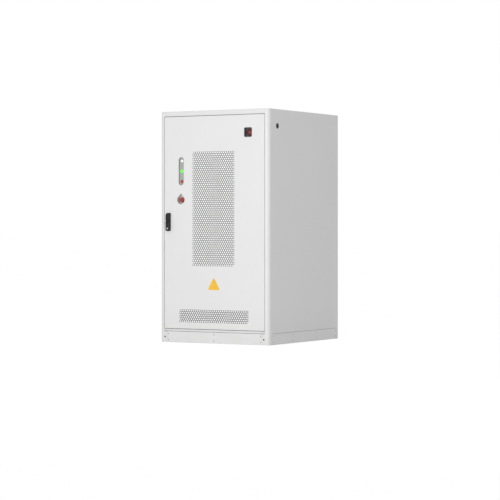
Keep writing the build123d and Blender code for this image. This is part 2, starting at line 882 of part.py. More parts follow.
with BuildPart() as stop_button:
    with BuildSketch(Plane((stop_x, head_front, stop_z))):
        with BuildLine():
            Polyline(
                (0, 0), (0, stop_head_depth), (stop_collar_radius, stop_head_depth),
                (stop_head_radius, stop_crown + stop_rim), (stop_head_radius, stop_crown),
                (stop_crown_radius, 0), close=True)
        make_face()
    revolve(axis=Axis((stop_x, head_front, stop_z), (0, 1, 0)))
    rod((stop_x, head_back, stop_z), (0, -1, 0), stop_neck_radius + running_gap,
        stop_head_depth / 2 + touch_gap, mode=Mode.SUBTRACT)
keep(stop_button, "stop_button")

# ---------------------------------------------------------------- alarm
with BuildPart() as alarm_tray:
    inner_size = (alarm_width - 2 * alarm_rim, alarm_height - 2 * alarm_rim)
    with BuildSketch(looking_in(front)):
        with Locations((alarm_x, alarm_z)):
            RectangleRounded(alarm_width, alarm_height, alarm_corner)
    extrude(amount=alarm_rim_proud)
    with BuildSketch(looking_in(front)):
        with Locations((alarm_x, alarm_z)):
            RectangleRounded(*inner_size, alarm_corner - alarm_rim)
    extrude(amount=-(alarm_depth + tray_wall))
    with BuildSketch(looking_in(front - alarm_rim_proud)):
        with Locations((alarm_x, alarm_z)):
            RectangleRounded(
                inner_size[0] - 2 * tray_wall, inner_size[1] - 2 * tray_wall,
                alarm_corner - alarm_rim - tray_wall)
    extrude(amount=-(alarm_rim_proud + alarm_depth), mode=Mode.SUBTRACT)
    rod((alarm_x, front + alarm_depth, alarm_z), (0, 1, 0),
        alarm_body_radius, tray_wall, mode=Mode.SUBTRACT)
keep(alarm_tray, "alarm_tray")

with BuildPart() as alarm_dome:
    base = front + alarm_depth
    with BuildSketch(Plane((alarm_x, base, alarm_z))):
        with BuildLine():
            Polyline(
                (0, -alarm_dome_height), (0, alarm_body_length),
                (alarm_body_radius - running_gap, alarm_body_length),
                (alarm_body_radius - running_gap, 0), (alarm_dome_radius, 0),
                (alarm_dome_top, -alarm_dome_height), close=True)
        make_face()
    revolve(axis=Axis((alarm_x, base, alarm_z), (0, 1, 0)))
keep(alarm_dome, "alarm_dome")

# ================================================================ lock
with BuildPart() as handle_plate:
    with BuildSketch(looking_in(front)):
        with Locations((lock_x, plate_middle)):
            RectangleRounded(plate_width, plate_height, plate_corner)
    extrude(amount=plate_thickness)
    with BuildSketch(looking_in(front)):
        with Locations((lock_x, plate_middle)):
            Rectangle(plate_body_width, plate_body_height)
    extrude(amount=-plate_body_depth)
    rod((lock_x, plate_face, spindle_z), (0, 1, 0), spindle_radius + running_gap,
        plate_thickness + plate_body_depth, mode=Mode.SUBTRACT)
keep(handle_plate, "handle_plate")

# The turning head carries the spindle, and a tongue for the lever's lift pin
with BuildPart() as lever_head:
    with BuildSketch(looking_in(grip_back)):
        with Locations((lock_x, spindle_z)):
            Circle(grip_width / 2)
        with Locations((lock_x, (spindle_z + head_bottom) / 2)):
            Rectangle(grip_width, spindle_z - head_bottom)
    extrude(amount=grip_back - grip_face)
    fillet(lever_head.faces().sort_by(Axis.Y)[0].edges(), grip_edge_radius)
    tongue = (lock_x - tongue_width / 2, lock_x + tongue_width / 2)
    block(tongue, (lift_y - lift_radius, lift_y + lift_radius), (lift_z, head_bottom + sheet))
    rod((tongue[0], lift_y, lift_z), (1, 0, 0), lift_radius, tongue_width)
    rod((lock_x, grip_back, spindle_z), (0, 1, 0), spindle_radius, case_back - grip_back)
    rod((lock_x - grip_width / 2 + sheet, lift_y, lift_z), (1, 0, 0),
        lift_pin_radius, grip_width - 2 * sheet)
keep(lever_head, "lever_head")

# The lever hangs on the lift pin in a fork round the tongue
with BuildPart() as lever:
    with BuildSketch(Plane.YZ.offset(lock_x - grip_width / 2)):
        with BuildLine():
            Polyline(
                (grip_back, grip_bottom), (grip_face, grip_bottom),
                (grip_face, lift_z - grip_shoulder), (lift_y - lift_radius, lift_z),
                (lift_y + lift_radius, lift_z), (grip_back, lift_z - lift_radius), close=True)
        make_face()
        with Locations((lift_y, lift_z)):
            Circle(lift_radius)
    extrude(amount=grip_width)
    fillet(lever.edges().filter_by(Axis.Y).group_by(Axis.Z)[0], grip_edge_radius)
    outer = lever.faces().filter_by(Axis.Y).sort_by(Axis.Y)[0]
    fillet(outer.edges().sort_by(Axis.Z)[:-1], grip_edge_radius)
    slot_half = tongue_width / 2 + touch_gap
    block(
        (lock_x - slot_half, lock_x + slot_half), (grip_face, grip_back),
        (lift_z - lift_radius - grip_edge_radius, head_bottom), mode=Mode.SUBTRACT)
    rod((lock_x - grip_width / 2, lift_y, lift_z), (1, 0, 0), lift_pin_radius + running_gap,
        grip_width, mode=Mode.SUBTRACT)
    rod((lock_x, grip_face, key_z), (0, 1, 0), key_radius + running_gap, key_depth, mode=Mode.SUBTRACT)
keep(lever, "lever")

with BuildPart() as key_barrel:
    rod((lock_x, grip_face + touch_gap, key_z), (0, 1, 0), key_radius, key_depth - touch_gap)
    block(
        (lock_x - key_slot_width / 2, lock_x + key_slot_width / 2),
        (grip_face + touch_gap, grip_face + key_depth / 2),
        (key_z - key_slot_length / 2, key_z + key_slot_length / 2), mode=Mode.SUBTRACT)
keep(key_barrel, "key_barrel")


def involute(radius):
    """The involute angle at a radius of the pinion, in radians."""
    slope = acos(min(1, pitch_radius * cos(radians(pressure_angle)) / radius))
    return tan(slope) - slope


def flank(radius):
    """Half the angle that a pinion tooth fills at a radius."""
    at_pitch = pi / (2 * pinion_teeth) - tooth_backlash / (4 * pitch_radius)
    return at_pitch + involute(pitch_radius) - involute(radius)


with BuildSketch() as pinion_tooth:
    base_circle = pitch_radius * cos(radians(pressure_angle))
    tip_circle = pitch_radius + tooth_addendum
    root_circle = pitch_radius - tooth_dedendum
    radii = [root_circle - tooth_root_overlap, base_circle, pitch_radius, tip_circle]
    rising = [(r * cos(flank(r)), r * sin(flank(r))) for r in radii]
    with BuildLine():
        Polyline(*rising, *[(x, -y) for x, y in reversed(rising)], close=True)
    make_face()

# The pinion sits on the spindle with a gap between teeth facing each rod
with BuildPart() as lock_pinion:
    with BuildSketch(looking_in(rod_front)):
        with Locations((lock_x, spindle_z)):
            Circle(root_circle)
            with PolarLocations(0, pinion_teeth, start_angle=180 / pinion_teeth):
                add(pinion_tooth.sketch)
            Circle(spindle_radius + running_gap / 2, mode=Mode.SUBTRACT)
    extrude(amount=-rod_depth)
keep(lock_pinion, "lock_pinion")


def lock_rod(side, low, high):
    """A rod whose rack meshes with one side of the pinion; its teeth look at the pinion."""
    pitch_line = lock_x + side * pitch_radius
    root = pitch_line + side * tooth_dedendum
    slope = tan(radians(pressure_angle))
    half_tooth = tooth_pitch / 4 - tooth_backlash / 4
    teeth = range(-rack_lead, rack_tail + 1) if side > 0 else range(-rack_tail, rack_lead + 1)
    with BuildPart() as bar:
        with BuildSketch(looking_in(rod_front)):
            with Locations((root + side * rod_width / 2, (low + high) / 2)):
                Rectangle(rod_width, high - low)
            for tooth in teeth:
                z = spindle_z + tooth * tooth_pitch
                wide = half_tooth + tooth_dedendum * slope
                narrow = half_tooth - tooth_addendum * slope
                tip = pitch_line - side * tooth_addendum
                with BuildLine():
                    Polyline(
                        (root, z - wide), (tip, z - narrow), (tip, z + narrow), (root, z + wide),
                        close=True)
                make_face()
        extrude(amount=-rod_depth)
        ends = bar.edges().filter_by(Axis.Y).group_by(Axis.Z)[-1 if side > 0 else 0]
        chamfer(ends, rod_width / 4)
    return bar


rack_overrun = (rack_lead + 0.5) * tooth_pitch
keep(lock_rod(1, spindle_z - rack_overrun, lip_top - rod_end_gap), "lock_rod_upper")
keep(lock_rod(-1, lip_bottom + rod_end_gap, spindle_z + rack_overrun), "lock_rod_lower")

# The case steadies the spindle and both rods behind the door; four guides hold the rods
with BuildPart() as lock_case:
    case_front = front + plate_body_depth
    cavity = case_half - case_wall
    block(
        (lock_x - case_half, lock_x + case_half), (case_front, case_back),
        (spindle_z - case_half_height, spindle_z + case_half_height))
    block(
        (lock_x - cavity, lock_x + cavity), (rod_front - touch_gap, rod_front + rod_depth + touch_gap),
        (spindle_z - case_half_height, spindle_z + case_half_height), mode=Mode.SUBTRACT)
    rod((lock_x, case_front, spindle_z), (0, 1, 0), spindle_radius + running_gap,
        case_back - case_front, mode=Mode.SUBTRACT)
    for side, places in (
        (1, (spindle_z + guide_distance, lip_top - guide_distance)),
        (-1, (lip_bottom + guide_distance, spindle_z - guide_distance)),
    ):
        rod_x = lock_x + side * (pitch_radius + tooth_dedendum + rod_width / 2)
        for z in places:
            low, high = z - guide_height / 2, z + guide_height / 2
            reach = rod_width / 2 + touch_gap
            block(
                (rod_x - reach - guide_wall, rod_x + reach + guide_wall),
                (front + sheet, rod_front + rod_depth + touch_gap + guide_wall), (low, high))
            block(
                (rod_x - reach, rod_x + reach),
                (rod_front - touch_gap, rod_front + rod_depth + touch_gap), (low, high),
                mode=Mode.SUBTRACT)
keep(lock_case, "lock_case")

# ================================================================ hinges
# The arm leaves its knuckle sideways, runs behind the opening's return lip and lands on the
# door's flange, so that the lip lies in its mouth when the door stands open.
arm_reach = hinge_x - door_half + hinge_flange
foot_y = door_back + arm_thickness / 2 - hinge_y
arm_path = [
    (knuckle_radius - sheet, 0), (arm_side_reach, 0), (arm_side_reach, arm_back_reach),
    (-arm_cross, arm_back_reach), (-arm_landing, foot_y), (-arm_reach, foot_y)]
with BuildPart() as hinge_arms:
    for z in hinge_levels:
        with BuildSketch(Plane((hinge_x, hinge_y, z - arm_height / 2))):
            with BuildLine():
                FilletPolyline(*arm_path, radius=[arm_bend, arm_bend, 0, 0])
                offset(amount=arm_thickness / 2, side=Side.BOTH, kind=Kind.INTERSECTION)
            make_face()
            Circle(knuckle_radius)
            Circle(hinge_pin_radius + running_gap, mode=Mode.SUBTRACT)
        extrude(amount=arm_height)
keep(hinge_arms, "hinge_arms")

with BuildPart() as hinge_leaves:
    for z in hinge_levels:
        plate_x = (opening_half + sheet, opening_half + sheet + leaf_thickness)
        block(plate_x, (front + sheet, front + return_lip), (z - leaf_half, z + leaf_half))
        for low in (z - leaf_half, z + leaf_half - leaf_knuckle_height):
            block(
                (plate_x[0], hinge_x), (hinge_y - knuckle_radius, front + return_lip),
                (low, low + leaf_knuckle_height))
            rod((hinge_x, hinge_y, low), (0, 0, 1), knuckle_radius, leaf_knuckle_height)
            rod((hinge_x, hinge_y, low), (0, 0, 1), hinge_pin_radius + running_gap / 2,
                leaf_knuckle_height, mode=Mode.SUBTRACT)
keep(hinge_leaves, "hinge_leaves")

with BuildPart() as hinge_pins:
    for z in hinge_levels:
        rod((hinge_x, hinge_y, z - leaf_half), (0, 0, 1), hinge_pin_radius, 2 * leaf_half)
keep(hinge_pins, "hinge_pins")

# ================================================================ cooling unit
cooler_x = (grille_x - cooler_half, grille_x + cooler_half)
cooler_z = (tall_grille_z - cooler_height / 2, tall_grille_z + cooler_height / 2)
fan_levels = (tall_grille_z - fan_spacing / 2, tall_grille_z + fan_spacing / 2)
with BuildPart() as cooler_housing:
    block(cooler_x, (cooler_front, cooler_back), cooler_z)
    block(
        (cooler_x[0] + sheet, cooler_x[1] - sheet), (cooler_front, cooler_back - sheet),
        (cooler_z[0] + sheet, cooler_z[1] - sheet), mode=Mode.SUBTRACT)
    block(
        (cooler_x[0] + sheet, cooler_x[1] - sheet), (orifice_y, orifice_y + sheet),
        (cooler_z[0] + sheet, cooler_z[1] - sheet))
    for z in fan_levels:
        rod((grille_x, orifice_y, z), (0, 1, 0), orifice_radius, sheet, mode=Mode.SUBTRACT)
        block(
            (cooler_x[0] + sheet, cooler_x[1] - sheet), (bracket_y, bracket_y + bracket_thickness),
            (z - bracket_width / 2, z + bracket_width / 2))
        rod((grille_x, bracket_y, z), (0, -1, 0), fan_shaft_radius, fan_hub_depth)
    for wall, outward in zip(cooler_x, (-cooler_flange, cooler_flange)):
        block((wall, wall + outward), (cooler_front, cooler_front + sheet), cooler_z)
    top_row = cooler_z[1] - louvre_inset - (louvre_count - 1) * louvre_pitch
    for end in (cooler_z[0] + louvre_inset, top_row):
        for louvre in range(louvre_count):
            low = end + louvre * louvre_pitch
            block(
                (grille_x - louvre_width / 2, grille_x + louvre_width / 2),
                (cooler_back - sheet, cooler_back), (low, low + louvre_height), mode=Mode.SUBTRACT)
keep(cooler_housing, "cooler_housing")


def cooler_fan(z):
    """An axial fan wheel with pitched, widening blades, turning on the bracket's stub shaft."""
    hub_middle = fan_front + fan_hub_depth / 2
    root = fan_hub_radius - fan_root_inset
    pitch = radians(fan_blade_pitch)
    with BuildPart() as wheel:
        rod((grille_x, fan_front, z), (0, 1, 0), fan_hub_radius, fan_hub_depth)
        for blade in range(fan_blades):
            turn = 2 * pi * blade / fan_blades
            spoke = (sin(turn), 0, cos(turn))
            normal = (sin(pitch) * cos(turn), cos(pitch), -sin(pitch) * sin(turn))
            with BuildSketch(Plane((grille_x, hub_middle, z), x_dir=spoke, z_dir=normal)):
                Polygon(
                    (root, -fan_root_chord / 2), (fan_radius, -fan_tip_chord / 2),
                    (fan_radius, fan_tip_chord / 2), (root, fan_root_chord / 2), align=None)
            extrude(amount=fan_blade_thickness / 2, both=True)
        rod((grille_x, fan_front, z), (0, 1, 0), fan_shaft_radius + running_gap,
            fan_hub_depth, mode=Mode.SUBTRACT)
    return wheel


keep(cooler_fan(fan_levels[0]), "fan_lower")
keep(cooler_fan(fan_levels[1]), "fan_upper")
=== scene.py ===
# %% [markdown]
# # An outdoor battery cabinet, finished in Blender
#
# The cabinet stands on a plinth and carries one flush door with a swing-lever lock, three
# pilot lamps, a stop button, an alarm and two perforated fields. The solids come from the
# CAD model and never move. This lesson gives each of them a finish, and adds what is too
# fine for a solid: perforations, screws, domed lenses and the bolts and handles inside.

# %% Load the frame and note its box
import json
from math import cos, pi, radians, sin, sqrt

import bmesh
import bpy
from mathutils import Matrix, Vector


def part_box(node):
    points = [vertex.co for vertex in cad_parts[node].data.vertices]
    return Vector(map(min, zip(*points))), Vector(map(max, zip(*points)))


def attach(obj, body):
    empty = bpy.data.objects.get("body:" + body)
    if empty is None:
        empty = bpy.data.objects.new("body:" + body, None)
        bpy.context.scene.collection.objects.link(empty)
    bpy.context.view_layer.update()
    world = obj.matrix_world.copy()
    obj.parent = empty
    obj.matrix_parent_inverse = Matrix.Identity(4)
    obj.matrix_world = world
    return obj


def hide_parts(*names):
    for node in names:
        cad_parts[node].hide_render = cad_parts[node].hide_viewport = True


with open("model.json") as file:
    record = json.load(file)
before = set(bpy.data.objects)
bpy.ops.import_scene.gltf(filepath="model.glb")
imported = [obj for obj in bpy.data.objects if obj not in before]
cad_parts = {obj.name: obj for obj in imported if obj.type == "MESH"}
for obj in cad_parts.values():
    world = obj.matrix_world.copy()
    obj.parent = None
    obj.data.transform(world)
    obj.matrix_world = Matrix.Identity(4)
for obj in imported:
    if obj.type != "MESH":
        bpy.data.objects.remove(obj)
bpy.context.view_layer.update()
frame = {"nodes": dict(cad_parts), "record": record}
body_of = {node: body for body, nodes in frame["record"]["behaviour"]["bodies"].items() for node in nodes}
slot_of = {part["node"]: part["material_slot"] for part in frame["record"]["subparts"]}

# %% [markdown]
# ## Camera
#
# A long lens keeps a tall cabinet's edges nearly parallel, so the camera stands far off and
# level, a metre above the floor, and a small shift brings the cabinet to its place in the
# frame without tilting the view.

# %% Set up the camera
scene = bpy.context.scene
scene.view_settings.view_transform = "Standard"
lens = bpy.data.cameras.new("studio_camera")
lens.sensor_width = 36.0
lens.lens = 139.9
lens.shift_y = -0.0434
camera = bpy.data.objects.new("studio_camera", lens)
camera.location = (8.705, -14.803, 0.988)
camera.rotation_euler = (radians(90), 0, radians(30.47))
scene.collection.objects.link(camera)
scene.camera = camera
print("camera at", tuple(round(c, 3) for c in camera.location))

# %% [markdown]
# ## Node trees written as Python
#
# Shader and geometry trees are easier to read as expressions. `Wire` wraps an output socket
# and turns +, -, * and / into Math nodes; `Graph` adds any other node in one call, with its
# settings first and the values or wires of its sockets after them.

# %% Wrap sockets and trees


class Wire:
    """An output socket that can stand in an expression."""

    def __init__(self, graph, socket):
        self.graph, self.socket = graph, socket

    def other(self, name):
        """Another output of the same node."""
        return Wire(self.graph, self.socket.node.outputs[name])

    def __add__(self, value):
        return self.graph.math("ADD", self, value)

    def __sub__(self, value):
        return self.graph.math("SUBTRACT", self, value)

    def __rsub__(self, value):
        return self.graph.math("SUBTRACT", value, self)

    def __mul__(self, value):
        return self.graph.math("MULTIPLY", self, value)

    def __truediv__(self, value):
        return self.graph.math("DIVIDE", self, value)

    __radd__, __rmul__ = __add__, __mul__


class Graph:
    """A node tree that grows one node for each call."""

    def __init__(self, tree):
        self.tree = tree

    def node(self, kind, settings=None, inputs=None, output=0):
        """Add a node: settings first, then the values or wires of its sockets."""
        made = self.tree.nodes.new(kind)
        for name, value in (settings or {}).items():
            if name == "stops":
                first, *between, last = value
                made.color_ramp.elements[0].position, made.color_ramp.elements[0].color = first
                made.color_ramp.elements[1].position, made.color_ramp.elements[1].color = last
                for place, colour in between:
                    made.color_ramp.elements.new(place).color = colour
            else:
                setattr(made, name, value)
        for name, value in (inputs or {}).items():
            wires = value if isinstance(value, list) else [value]
            for wire in wires:
                if isinstance(wire, Wire):
                    self.tree.links.new(wire.socket, made.inputs[name])
                else:
                    made.inputs[name].default_value = wire
        return Wire(self, made.outputs[output]) if made.outputs else made

    def math(self, operation, first, second=0.0):
        """One Math node."""
        return self.node("ShaderNodeMath", {"operation": operation}, {0: first, 1: second})

    def combine(self, x, y, z):
        """A vector from three numbers."""
        return self.node("ShaderNodeCombineXYZ", None, {"X": x, "Y": y, "Z": z})


print("wires and graphs ready")

# %% [markdown]
# ## Light and ground
#
# A product is shown under one large soft lamp, a little to the right, and an even sky. The sky and the
# floor look white to the camera and in reflections, but light the cabinet at a plain level,
# so that a colour renders about as it is written. The floor keeps a faint shadow.

# %% Light the studio
sky = bpy.data.worlds.new("studio_sky")
sky.use_nodes = True
sky.node_tree.nodes.clear()
scene.world = sky
air = Graph(sky.node_tree)


def seen(graph):
    """1 for rays that show a backdrop: from the camera, a reflection or through glass."""
    path = graph.node("ShaderNodeLightPath", output="Is Camera Ray")
    shown = graph.math("MAXIMUM", path, path.other("Is Glossy Ray"))
    return graph.math("MAXIMUM", shown, path.other("Is Transmission Ray"))


SKY_STRENGTH = 0.56
lighting = air.node("ShaderNodeBackground", None, {"Color": (1, 1, 1, 1), "Strength": SKY_STRENGTH})
backdrop = air.node("ShaderNodeBackground", None, {"Color": (1, 1, 1, 1), "Strength": 1.0})
both = air.node("ShaderNodeMixShader", None, {0: seen(air), 1: lighting, 2: backdrop})
air.node("ShaderNodeOutputWorld", None, {"Surface": both})

lamp_data = bpy.data.lights.new("front_softbox", "AREA")
lamp_data.shape = "RECTANGLE"
lamp_data.size, lamp_data.size_y = 5.0, 4.0
lamp_data.energy = 306.0
lamp = bpy.data.objects.new("front_softbox", lamp_data)
lamp.location = (2.1, -8.4, 1.9)
lamp.rotation_euler = (Vector((0, 0, 1.0)) - lamp.location).to_track_quat("-Z", "Y").to_euler()
scene.collection.objects.link(lamp)
print("sky", SKY_STRENGTH, "softbox", lamp_data.energy, "W")

# %% Lay the floor
FLOOR_REACH = 150.0
floor_mesh = bpy.data.meshes.new("studio_floor")
corners = [(x, y, -0.0004) for x, y in ((-1, -1), (1, -1), (1, 1), (-1, 1))]
floor_mesh.from_pydata([(x * FLOOR_REACH, y * FLOOR_REACH, z) for x, y, z in corners], [], [(0, 1, 2, 3)])
studio_floor = bpy.data.objects.new("studio_floor", floor_mesh)
scene.collection.objects.link(studio_floor)
floor_finish = bpy.data.materials.new("studio_floor")
floor_finish.use_nodes = True
floor_finish.node_tree.nodes.clear()
ground = Graph(floor_finish.node_tree)
WHITE_SHARE = 0.80
matt = ground.node("ShaderNodeBsdfDiffuse", None, {"Color": (0.90, 0.90, 0.90, 1)})
glow = ground.node("ShaderNodeEmission", None, {"Color": (1, 1, 1, 1), "Strength": 1.12})
mixed = ground.node("ShaderNodeMixShader", None, {0: seen(ground) * WHITE_SHARE, 1: matt, 2: glow})
ground.node("ShaderNodeOutputMaterial", None, {"Surface": mixed})
floor_mesh.materials.append(floor_finish)
print("floor laid")

# %% [markdown]
# ## Finishes
#
# Every finish reads Object coordinates, which are the cabinet's own metres because all
# pieces sit at the origin. A `Finish` closes with one Principled shader: what varies feeds
# its colour, roughness or bump, and what is the same all over is set on the socket.

# %% Write the finish helper


class Finish(Graph):
    """A material's tree, its coordinates and its closing shader."""

    def __init__(self, name):
        self.material = bpy.data.materials.new(name)
        self.material.use_nodes = True
        self.material.node_tree.nodes.clear()
        super().__init__(self.material.node_tree)
        self.place = self.node("ShaderNodeTexCoord", output="Object")

    def noise(self, scale, detail=2.0, stretch=(1, 1, 1)):
        """Noise between 0 and 1; a stretch of more than 1 makes it finer along that axis."""
        where = self.node("ShaderNodeMapping", None, {"Vector": self.place, "Scale": stretch})
        return self.node("ShaderNodeTexNoise", None, {"Vector": where, "Scale": scale, "Detail": detail})

    def mix(self, share, low, high):
        """A colour between two others."""
        rgba = [(*c, 1) if isinstance(c, tuple) else c for c in (low, high)]
        settings = {"data_type": "RGBA"}
        return self.node("ShaderNodeMix", settings, {0: share, 6: rgba[0], 7: rgba[1]}, output=2)

    def bump(self, height, depth, strength=1.0):
        """Relief of a real depth in metres."""
        inputs = {"Height": height, "Distance": depth, "Strength": strength}
        return self.node("ShaderNodeBump", None, inputs, output="Normal")

    def clamp(self, value):
        """A value held between 0 and 1."""
        return self.math("MINIMUM", self.math("MAXIMUM", value, 0.0), 1.0)

    def close(self, **sockets):
        """The Principled shader and the output; underscores stand for spaces."""
        inputs = {name.replace("_", " "): value for name, value in sockets.items()}
        for name in ("Base Color", "Emission Color"):
            if isinstance(inputs.get(name), tuple):
                inputs[name] = (*inputs[name], 1)
        shader = self.node("ShaderNodeBsdfPrincipled", None, inputs)
        self.node("ShaderNodeOutputMaterial", None, {"Surface": shader})
        return self.material


print("finish helper ready")

# %% [markdown]
# ### Powder coat
#
# Outdoor cabinets are powder coated: the film flows in the oven and sets with a fine orange
# peel. The relief is a few hundredths of a millimetre deep and about two millimetres wide,
# and dust gathers a little above the plinth.

# %% Make the powder coats


def powder_coat(name, colour, roughness, peel=0.00004, width=620.0, shine=0.5, painted_gap_shadow=None):
    """Sprayed and baked paint with orange peel and dust near the ground; a given strip of height is painted dark grey
    as painted shadow in a gap between parts.
    """
    f = Finish(name)
    height = f.node("ShaderNodeSeparateXYZ", None, {"Vector": f.place}, output="Z")
    cloud = f.noise(1.6, 3.0)
    dust = f.clamp(1.0 - height / 0.35) * f.noise(9.0, 4.0) * 0.5
    darker = tuple(c * 0.965 for c in colour)
    dusty = tuple(c * k for c, k in zip(colour, (0.86, 0.84, 0.80)))
    tone = f.mix(dust, f.mix(cloud, darker, colour), dusty)
    # Painted shadow: a strip between two heights, or all outside it, is painted dark grey where a gap between parts
    # lies in shade.
    if painted_gap_shadow:
        low, high, outside = painted_gap_shadow
        gap_shadow_band = f.math("GREATER_THAN", height, low) * f.math("LESS_THAN", height, high)
        tone = f.mix(1.0 - gap_shadow_band if outside else gap_shadow_band, tone, (0.13, 0.13, 0.13))
    relief = f.bump(f.noise(width, 1.0), peel)
    sheen = f.noise(40.0, 2.0) * 0.06 + (roughness - 0.03)
    return f.close(Base_Color=tone, Roughness=sheen, Normal=relief, Specular_IOR_Level=shine)


door_coat = powder_coat("door_powder_coat", (0.80, 0.80, 0.80), 0.42)
body_coat = powder_coat("body_powder_coat", (0.78, 0.78, 0.785), 0.42)
cover_coat = powder_coat("cover_powder_coat", (0.79, 0.79, 0.795), 0.45)
# The lamp tray's coat, shared by the lamp rings, is a dark grey tinted green: painted shade of the recess and painted
# glow of the lit green lamp.
tray_painted_shade_glow_coat = powder_coat("tray_grey_coat", (0.40, 0.425, 0.39), 0.36)
# The plinth, its side covers and the landing plate carry dark strips of painted shadow in the gaps along the covers
# and round the door.
plinth_coat = powder_coat("plinth_powder_coat", (0.78, 0.78, 0.785), 0.42, painted_gap_shadow=(0.0945, 0.0985, False))
side_cover_coat = powder_coat("side_cover_powder_coat", (0.79, 0.79, 0.795), 0.45, painted_gap_shadow=(0.0940, 0.0985, False))
landing_coat = powder_coat("landing_powder_coat", (0.78, 0.78, 0.785), 0.42, painted_gap_shadow=(0.1195, 1.9555, True))
control_coat = powder_coat("control_box_coat", (0.52, 0.54, 0.55), 0.55, 0.00008, 420.0)
lock_coat = powder_coat("lock_black_coat", (0.014, 0.014, 0.015), 0.40, 0.00003, 900.0, 0.28)
print("powder coats", door_coat.name, body_coat.name, lock_coat.name)

# %% Grade the stop button's recess with painted reflection and painted light


def painted_light_recess_finish(name, node):
    """Glossy grey with a painted reflection of the button's red beside it, and painted light making it paler above and
    below the button.
    """
    low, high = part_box(node)
    f = Finish(name)
    height = f.node("ShaderNodeSeparateXYZ", None, {"Vector": f.place}, output="Z")
    away = f.clamp(f.math("ABSOLUTE", height - (low.z + high.z) / 2) / (high.z - low.z) - 0.2)
    # Painted reflection and painted light: pink-grey beside the button for its red, near white towards the ends where
    # the deep recess lies in shade.
    tone = f.mix(away, (0.50, 0.41, 0.41), (0.95, 0.94, 0.94))
    relief = f.bump(f.noise(620.0, 1.0), 0.00004)
    return f.close(Base_Color=tone, Roughness=f.noise(40.0, 2.0) * 0.06 + 0.27, Normal=relief)


stop_painted_light_coat = painted_light_recess_finish("stop_recess_coat", "stop_button")
print("recess", stop_painted_light_coat.name)

# %% Mask the vents in grey
PITCH, HOLE_RADIUS = 0.021, 0.0076
ROW_STEP = PITCH * sqrt(3) / 2
WEB_REACH = HOLE_RADIUS + 0.0022


def vent_coat(name, node, columns, rows, web):
    """Door paint round the holes' field and grey on the webs, whose border follows the rows."""
    low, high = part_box(node)
    f = Finish(name)
    away = f.node("ShaderNodeVectorMath", {"operation": "SUBTRACT"}, {0: f.place, 1: (low + high) / 2})
    parts = f.node("ShaderNodeSeparateXYZ", None, {"Vector": away})
    row = f.math("FLOOR", parts.other("Z") / ROW_STEP + rows / 2)
    shift = (f.math("MODULO", row, 2) - 0.5) * (PITCH / 2)
    beside = f.math("LESS_THAN", f.math("ABSOLUTE", parts - shift), (columns - 1) * PITCH / 2 + WEB_REACH)
    level = f.math("ABSOLUTE", parts.other("Z"))
    within = beside * f.math("LESS_THAN", level, (rows - 1) * ROW_STEP / 2 + WEB_REACH)
    grey = f.mix(f.noise(30.0, 3.0), (web * 0.9,) * 3, (web * 1.1,) * 3)
    colour = f.mix(within, (0.80, 0.80, 0.80), grey)
    return f.close(Base_Color=colour, Roughness=within * 0.12 + 0.42, Normal=f.bump(f.noise(620.0, 1.0), 0.00004))

# %% [markdown]
# ### Zinc, steel and aluminium
#
# Hot-dip galvanised sheet freezes into spangles, flat grains of slightly different shine.
# A Voronoi texture gives each grain its own value. Drawn steel has fine lines along its
# length, so its noise is stretched.

# %% Make the metals


def galvanised(name, grain=70.0):
    """Zinc with spangles a centimetre or two across."""
    f = Finish(name)
    cells = f.node("ShaderNodeTexVoronoi", None, {"Vector": f.place, "Scale": grain}, output="Color")
    grey = f.node("ShaderNodeSeparateColor", None, {"Color": cells})
    colour = f.mix(grey, (0.55, 0.57, 0.585), (0.64, 0.66, 0.675))
    relief = f.bump(f.noise(260.0, 2.0), 0.00004)
    return f.close(Base_Color=colour, Metallic=0.9, Roughness=grey * 0.10 + 0.38, Normal=relief)


def drawn_metal(name, colour, roughness, stretch, metallic=1.0):
    """Drawn or brushed metal with lines along one axis."""
    f = Finish(name)
    lines = f.noise(30.0, 3.0, stretch)
    shade = f.mix(lines, tuple(c * 0.88 for c in colour), colour)
    sheen = lines * 0.12 + (roughness - 0.06)
    return f.close(Base_Color=shade, Metallic=metallic, Roughness=sheen, Normal=f.bump(lines, 0.00002))


zinc = galvanised("galvanised_sheet")
pin_steel = drawn_metal("pin_steel", (0.58, 0.59, 0.60), 0.30, (20, 20, 1))
gear_steel = drawn_metal("gear_steel", (0.50, 0.50, 0.51), 0.36, (12, 1, 12))
key_chrome = drawn_metal("key_chrome", (0.74, 0.74, 0.74), 0.16, (14, 1, 14))
screw_steel = drawn_metal("screw_steel", (0.44, 0.44, 0.45), 0.32, (9, 9, 9))
case_aluminium = drawn_metal("module_case_aluminium", (0.15, 0.155, 0.165), 0.42, (1, 8, 1), 0.75)
print("metals", zinc.name, case_aluminium.name)

# %% [markdown]
# ### Plastics, rubber and mat
#
# Moulded plastic carries the fine grain of its mould. Foam rubber is open and dull, and the
# filter mat behind the perforations is a felt of pale fibres with a faint painted glow of its own.

# %% Make the soft and moulded finishes


def moulded(name, colour, roughness, grain=1100.0, depth=0.00003, shine=0.5):
    """Moulded plastic with a fine mould grain."""
    f = Finish(name)
    shade = f.mix(f.noise(25.0), tuple(c * 0.9 for c in colour), colour)
    sheen = f.noise(90.0) * 0.08 + (roughness - 0.04)
    return f.close(Base_Color=shade, Roughness=sheen, Normal=f.bump(f.noise(grain, 1.0), depth),
                   Specular_IOR_Level=shine)


def painted_glow_fibre_felt(name, colour):
    """Felted fibres: two crossed stretched noises, with a faint painted glow from emission."""
    f = Finish(name)
    fibres = f.noise(260.0, 4.0, (5, 1, 1)) * 0.5 + f.noise(260.0, 4.0, (1, 1, 5)) * 0.5
    shade = f.mix(fibres, tuple(c * 0.82 for c in colour), colour)
    # Painted glow: the felt emits a little of its own colour, so the holes look lit through.
    return f.close(Base_Color=shade, Roughness=0.95, Normal=f.bump(fibres, 0.0006), Emission_Color=shade,
                   Emission_Strength=0.14)


